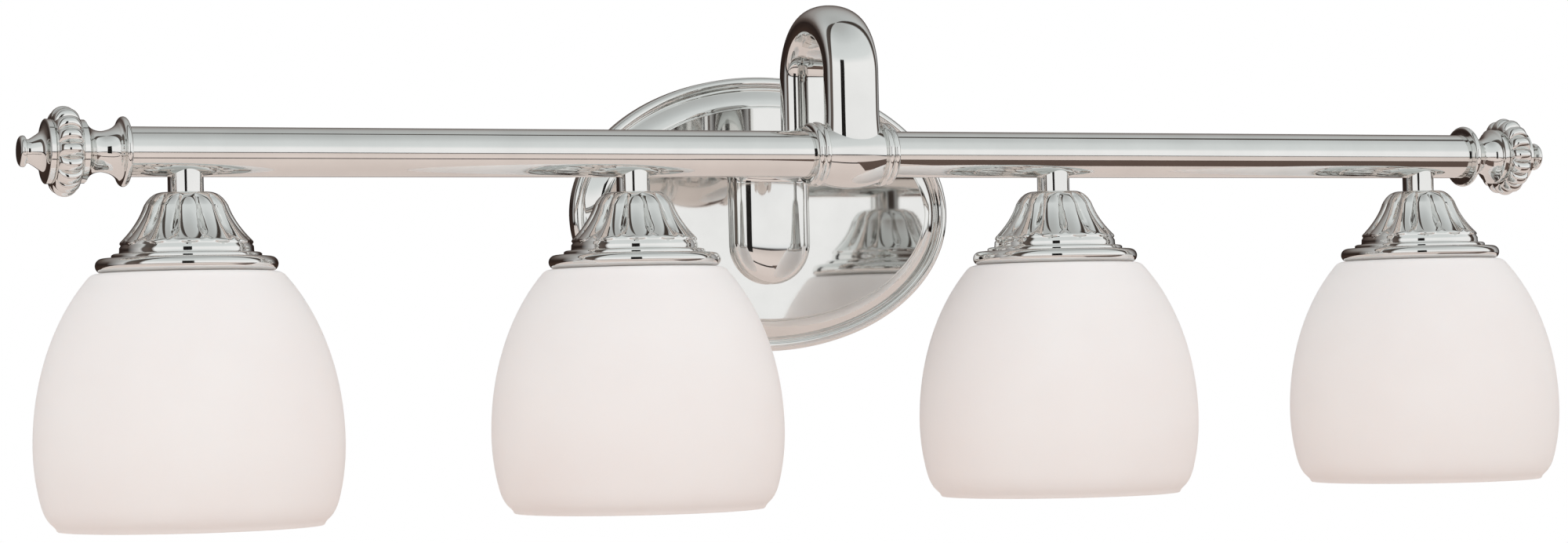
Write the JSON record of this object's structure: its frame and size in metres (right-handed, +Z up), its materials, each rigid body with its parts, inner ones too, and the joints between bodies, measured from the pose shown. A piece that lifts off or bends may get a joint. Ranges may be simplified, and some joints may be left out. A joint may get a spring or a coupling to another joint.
{
  "type": "vanity light bar",
  "caption": "Wall-mounted vanity light bar: straight tube on a hooked arm from an oval back plate, fluted holders with opal glass shades facing down, turned finials.",
  "frame": {"origin": "on the wall plane, in the middle between the two wall-box screw slots, behind the middle of the oval back plate", "axes": "+X along the bar, +Y into the wall, +Z up; the fixture stands out towards -Y"},
  "size_m": [0.796, 0.1742, 0.2393],
  "materials": {
    "polished_nickel": "polished nickel plate",
    "zinc_plated_steel": "zinc-plated steel",
    "green_screw": "green ground screw",
    "wire_sleeve": "insulated wire bundle",
    "phenolic": "moulded phenolic",
    "socket_brass": "bright pressed brass",
    "opal_glass": "etched opal white glass",
    "solder": "solder on a black glass insulator",
    "lamp_cap_metal": "pressed lamp cap",
    "frosted_glass": "frosted lamp glass"
  },
  "bodies": {
    "fixture": {"mounting_bracket": "zinc_plated_steel", "back_plate": "polished_nickel", "plate_screws": "polished_nickel", "ground_screw": "green_screw", "hook_arm": "polished_nickel", "arm_screws": "zinc_plated_steel", "arm_wires": "wire_sleeve", "tee_collar": "polished_nickel", "collar_ring_left": "polished_nickel", "collar_ring_right": "polished_nickel", "bar_sleeve": "zinc_plated_steel", "collar_nipple": "zinc_plated_steel", "bar_left": "polished_nickel", "bar_right": "polished_nickel", "finial_neck_left": "polished_nickel", "finial_neck_right": "polished_nickel", "finial_melon_left": "polished_nickel", "finial_melon_right": "polished_nickel", "finial_cap_left": "polished_nickel", "finial_cap_right": "polished_nickel", "finial_rods": "zinc_plated_steel", "stem_1": "polished_nickel", "stem_2": "polished_nickel", "stem_3": "polished_nickel", "stem_4": "polished_nickel", "stem_nipples": "zinc_plated_steel", "stem_locknuts": "zinc_plated_steel", "bar_wires": "wire_sleeve", "holder_1": "polished_nickel", "holder_2": "polished_nickel", "holder_3": "polished_nickel", "holder_4": "polished_nickel", "socket_body_1": "phenolic", "socket_body_2": "phenolic", "socket_body_3": "phenolic", "socket_body_4": "phenolic", "socket_shells": "socket_brass", "socket_contacts": "socket_brass", "shade_ring_1": "phenolic", "shade_ring_2": "phenolic", "shade_ring_3": "phenolic", "shade_ring_4": "phenolic", "shade_1": "opal_glass", "shade_2": "opal_glass", "shade_3": "opal_glass", "shade_4": "opal_glass"},
    "lamp_1_seat": {"lamp_tip_1": "solder"},
    "lamp_1": {"lamp_cap_1": "lamp_cap_metal", "lamp_globe_1": "frosted_glass"},
    "lamp_2_seat": {"lamp_tip_2": "solder"},
    "lamp_2": {"lamp_cap_2": "lamp_cap_metal", "lamp_globe_2": "frosted_glass"},
    "lamp_3_seat": {"lamp_tip_3": "solder"},
    "lamp_3": {"lamp_cap_3": "lamp_cap_metal", "lamp_globe_3": "frosted_glass"},
    "lamp_4_seat": {"lamp_tip_4": "solder"},
    "lamp_4": {"lamp_cap_4": "lamp_cap_metal", "lamp_globe_4": "frosted_glass"}
  },
  "joints": [
    {"name": "lamp_1_travel", "type": "slide", "parent": "fixture", "child": "lamp_1_seat", "axis": [0, 0, -1], "range_m": [0, 0.01996]},
    {"name": "lamp_1_turn", "type": "hinge", "parent": "lamp_1_seat", "child": "lamp_1", "pos_m": [-0.324, -0.106, -0.056], "axis": [0, 0, -1], "range_deg": [0, 1980]},
    {"name": "lamp_2_travel", "type": "slide", "parent": "fixture", "child": "lamp_2_seat", "axis": [0, 0, -1], "range_m": [0, 0.01996]},
    {"name": "lamp_2_turn", "type": "hinge", "parent": "lamp_2_seat", "child": "lamp_2", "pos_m": [-0.111, -0.106, -0.056], "axis": [0, 0, -1], "range_deg": [0, 1980]},
    {"name": "lamp_3_travel", "type": "slide", "parent": "fixture", "child": "lamp_3_seat", "axis": [0, 0, -1], "range_m": [0, 0.01996]},
    {"name": "lamp_3_turn", "type": "hinge", "parent": "lamp_3_seat", "child": "lamp_3", "pos_m": [0.111, -0.106, -0.056], "axis": [0, 0, -1], "range_deg": [0, 1980]},
    {"name": "lamp_4_travel", "type": "slide", "parent": "fixture", "child": "lamp_4_seat", "axis": [0, 0, -1], "range_m": [0, 0.01996]},
    {"name": "lamp_4_turn", "type": "hinge", "parent": "lamp_4_seat", "child": "lamp_4", "pos_m": [0.324, -0.106, -0.056], "axis": [0, 0, -1], "range_deg": [0, 1980]}
  ],
  "couplings": [
    {"joint": "lamp_1_turn", "follows": "lamp_1_travel", "rad_per_m": 1731.6},
    {"joint": "lamp_2_turn", "follows": "lamp_2_travel", "rad_per_m": 1731.6},
    {"joint": "lamp_3_turn", "follows": "lamp_3_travel", "rad_per_m": 1731.6},
    {"joint": "lamp_4_turn", "follows": "lamp_4_travel", "rad_per_m": 1731.6}
  ]
}
